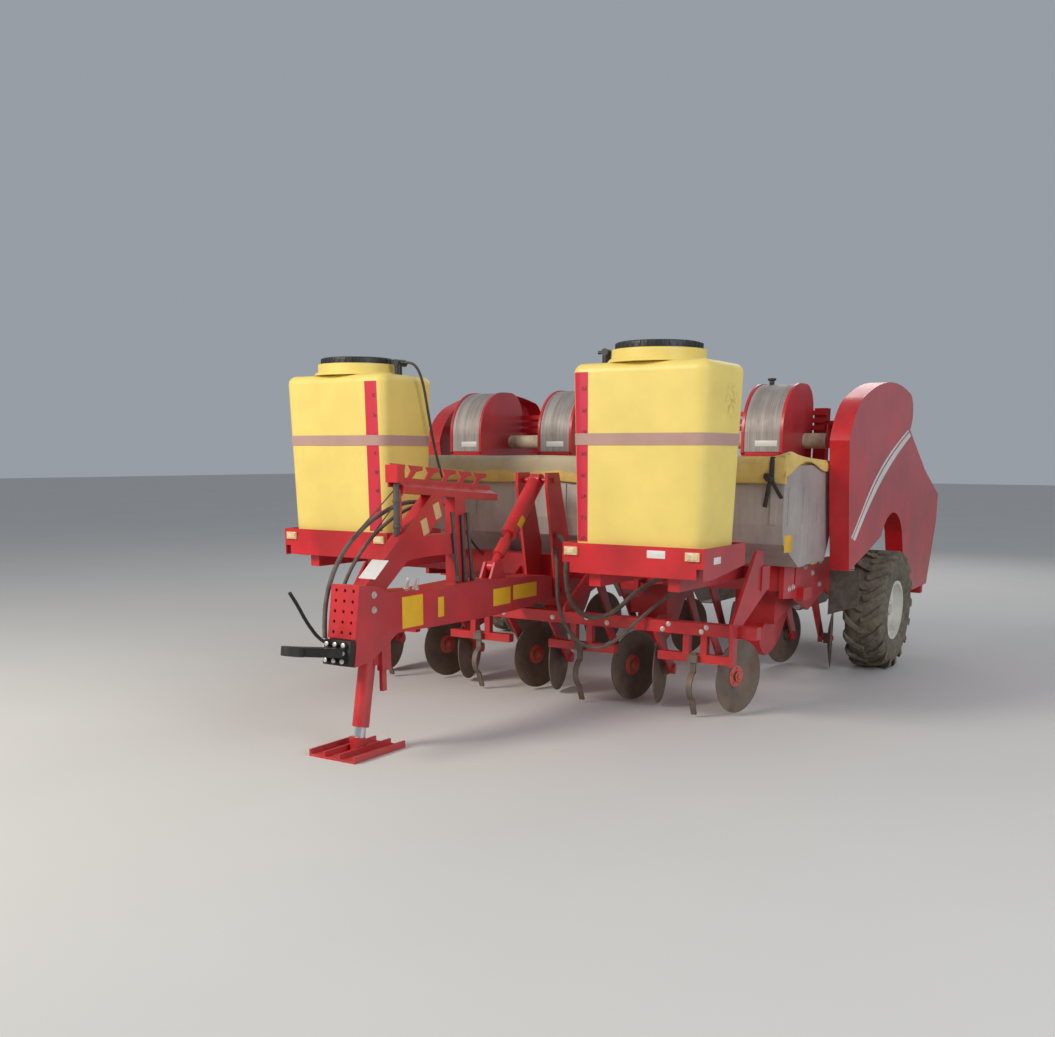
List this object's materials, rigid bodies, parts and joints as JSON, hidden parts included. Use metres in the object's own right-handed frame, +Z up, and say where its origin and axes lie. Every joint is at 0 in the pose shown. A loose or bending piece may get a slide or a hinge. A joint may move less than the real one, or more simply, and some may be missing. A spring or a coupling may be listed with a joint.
{
  "type": "trailed four-row potato planter",
  "caption": "Trailed row planter for potatoes with front liquid tanks, hopper, cup-belt units, disc tools, wheels, hinged drawbar and jack.",
  "frame": {"origin": "on the ground below the middle of the whole machine's box", "axes": "+X to the machine's left, -Y towards the tow eye, +Z up"},
  "size_m": [3.377, 5.6399, 2.0703],
  "materials": {
    "bare_steel": "worn, soil stained",
    "black_iron": "black",
    "black_plastic": "matte",
    "chrome": "polished rod",
    "cloth": "coated cloth",
    "cover": "dusty grey",
    "hose_rubber": "black hose",
    "lamp": "lamp body",
    "red_paint": "gloss",
    "rim": "cream paint",
    "roller": "cream",
    "steel": "dusty sheet steel",
    "strap": "woven band",
    "tank_yellow": "satin moulded plastic",
    "tyre": "dusty rubber",
    "vent_tube": "pale hose"
  },
  "bodies": {
    "chassis": {"main_frame": "red_paint", "wheel_legs": "red_paint", "tank_left": "tank_yellow", "tank_right": "tank_yellow", "tank_trays": "red_paint", "tank_straps": "strap", "tank_vents": "black_plastic", "lid_hinges": "black_plastic", "hopper": "steel", "hopper_cover": "cloth", "planting_units": "red_paint", "unit_covers": "cover", "unit_rails": "red_paint", "hopper_rollers": "roller", "side_hood_left": "red_paint", "side_hood_right": "red_paint", "furrow_openers": "red_paint", "front_toolbar": "red_paint", "front_tines": "bare_steel", "front_disc_arms": "red_paint", "rear_disc_arms": "red_paint", "ridging_hood": "bare_steel", "lamps": "lamp", "wheel_flaps": "hose_rubber", "vent_hose": "vent_tube", "loop_hose_1": "hose_rubber", "loop_hose_2": "hose_rubber"},
    "drawbar": {"drawbar_beam": "red_paint", "hitch_plate": "red_paint", "tow_eye": "black_iron", "hose_mast": "red_paint", "tow_hose_1": "hose_rubber", "tow_hose_2": "hose_rubber", "hose_couplers": "steel"},
    "jack_leg": {"jack_rod": "chrome", "jack_foot": "red_paint"},
    "lift_barrel": {"lift_barrel": "red_paint"},
    "lift_rod": {"lift_rod": "red_paint"},
    "wheel_left": {"tyre_left": "tyre", "rim_left": "rim"},
    "wheel_right": {"tyre_right": "tyre", "rim_right": "rim"},
    "lid_left": {"tank_lid_left": "black_plastic"},
    "lid_right": {"tank_lid_right": "black_plastic"},
    "front_disc_1": {"front_disc_1": "bare_steel"},
    "front_disc_2": {"front_disc_2": "bare_steel"},
    "front_disc_3": {"front_disc_3": "bare_steel"},
    "front_disc_4": {"front_disc_4": "bare_steel"},
    "front_disc_5": {"front_disc_5": "bare_steel"},
    "front_disc_6": {"front_disc_6": "bare_steel"},
    "front_disc_7": {"front_disc_7": "bare_steel"},
    "front_disc_8": {"front_disc_8": "bare_steel"},
    "rear_disc_1": {"rear_disc_1": "bare_steel"},
    "rear_disc_2": {"rear_disc_2": "bare_steel"},
    "rear_disc_3": {"rear_disc_3": "bare_steel"},
    "rear_disc_4": {"rear_disc_4": "bare_steel"},
    "rear_disc_5": {"rear_disc_5": "bare_steel"},
    "rear_disc_6": {"rear_disc_6": "bare_steel"},
    "rear_disc_7": {"rear_disc_7": "bare_steel"},
    "rear_disc_8": {"rear_disc_8": "bare_steel"}
  },
  "joints": [
    {"name": "wheel_left_spin", "type": "hinge", "parent": "chassis", "child": "wheel_left", "pos_m": [1.546, 1.58, 0.42], "axis": [1, 0, 0], "continuous": true},
    {"name": "wheel_right_spin", "type": "hinge", "parent": "chassis", "child": "wheel_right", "pos_m": [-1.546, 1.58, 0.42], "axis": [1, 0, 0], "continuous": true},
    {"name": "drawbar_hinge", "type": "hinge", "parent": "chassis", "child": "drawbar", "pos_m": [0, -0.48, 0.68], "axis": [1, 0, 0], "range_deg": [-4, 8]},
    {"name": "lift_barrel_pivot", "type": "hinge", "parent": "chassis", "child": "lift_barrel", "pos_m": [0, -0.6, 1.345], "axis": [1, 0, 0], "range_deg": [-1.94, 3.87]},
    {"name": "lift_rod_slide", "type": "slide", "parent": "lift_barrel", "child": "lift_rod", "axis": [0, -0.6999, -0.7143], "range_m": [-0.04173, 0.08346]},
    {"name": "jack_slide", "type": "slide", "parent": "drawbar", "child": "jack_leg", "axis": [0, 0.1908, 0.9816], "range_m": [-0.25, 0.024]},
    {"name": "lid_left_hinge", "type": "hinge", "parent": "chassis", "child": "lid_left", "pos_m": [1.027, -0.7985, 2.052], "axis": [-1, 0, 0], "range_deg": [0, 100]},
    {"name": "lid_right_hinge", "type": "hinge", "parent": "chassis", "child": "lid_right", "pos_m": [-1.027, -0.7985, 2.052], "axis": [-1, 0, 0], "range_deg": [0, 100]},
    {"name": "front_disc_1_spin", "type": "hinge", "parent": "chassis", "child": "front_disc_1", "pos_m": [-1.3, -0.44, 0.227], "axis": [0.9703, 0.2419, 0], "continuous": true},
    {"name": "front_disc_2_spin", "type": "hinge", "parent": "chassis", "child": "front_disc_2", "pos_m": [-0.8, -0.44, 0.227], "axis": [0.9703, -0.2419, 0], "continuous": true},
    {"name": "front_disc_3_spin", "type": "hinge", "parent": "chassis", "child": "front_disc_3", "pos_m": [-0.62, -0.44, 0.227], "axis": [0.9703, 0.2419, 0], "continuous": true},
    {"name": "front_disc_4_spin", "type": "hinge", "parent": "chassis", "child": "front_disc_4", "pos_m": [-0.08, -0.44, 0.227], "axis": [0.9703, -0.2419, 0], "continuous": true},
    {"name": "front_disc_5_spin", "type": "hinge", "parent": "chassis", "child": "front_disc_5", "pos_m": [0.08, -0.44, 0.227], "axis": [0.9703, 0.2419, 0], "continuous": true},
    {"name": "front_disc_6_spin", "type": "hinge", "parent": "chassis", "child": "front_disc_6", "pos_m": [0.62, -0.44, 0.227], "axis": [0.9703, -0.2419, 0], "continuous": true},
    {"name": "front_disc_7_spin", "type": "hinge", "parent": "chassis", "child": "front_disc_7", "pos_m": [0.8, -0.44, 0.227], "axis": [0.9703, 0.2419, 0], "continuous": true},
    {"name": "front_disc_8_spin", "type": "hinge", "parent": "chassis", "child": "front_disc_8", "pos_m": [1.3, -0.44, 0.227], "axis": [0.9703, -0.2419, 0], "continuous": true},
    {"name": "rear_disc_1_spin", "type": "hinge", "parent": "chassis", "child": "rear_disc_1", "pos_m": [-1.3, 1.3, 0.222], "axis": [0.9613, -0.2756, 0], "continuous": true},
    {"name": "rear_disc_2_spin", "type": "hinge", "parent": "chassis", "child": "rear_disc_2", "pos_m": [-0.95, 1.3, 0.222], "axis": [0.9613, 0.2756, 0], "continuous": true},
    {"name": "rear_disc_3_spin", "type": "hinge", "parent": "chassis", "child": "rear_disc_3", "pos_m": [-0.55, 1.3, 0.222], "axis": [0.9613, -0.2756, 0], "continuous": true},
    {"name": "rear_disc_4_spin", "type": "hinge", "parent": "chassis", "child": "rear_disc_4", "pos_m": [-0.2, 1.3, 0.222], "axis": [0.9613, 0.2756, 0], "continuous": true},
    {"name": "rear_disc_5_spin", "type": "hinge", "parent": "chassis", "child": "rear_disc_5", "pos_m": [0.2, 1.3, 0.222], "axis": [0.9613, -0.2756, 0], "continuous": true},
    {"name": "rear_disc_6_spin", "type": "hinge", "parent": "chassis", "child": "rear_disc_6", "pos_m": [0.55, 1.3, 0.222], "axis": [0.9613, 0.2756, 0], "continuous": true},
    {"name": "rear_disc_7_spin", "type": "hinge", "parent": "chassis", "child": "rear_disc_7", "pos_m": [0.95, 1.3, 0.222], "axis": [0.9613, -0.2756, 0], "continuous": true},
    {"name": "rear_disc_8_spin", "type": "hinge", "parent": "chassis", "child": "rear_disc_8", "pos_m": [1.3, 1.3, 0.222], "axis": [0.9613, 0.2756, 0], "continuous": true}
  ],
  "couplings": [
    {"joint": "lift_barrel_pivot", "follows": "drawbar_hinge", "ratio": 0.43979},
    {"joint": "lift_rod_slide", "follows": "drawbar_hinge", "m_per_rad": 0.54338}
  ]
}
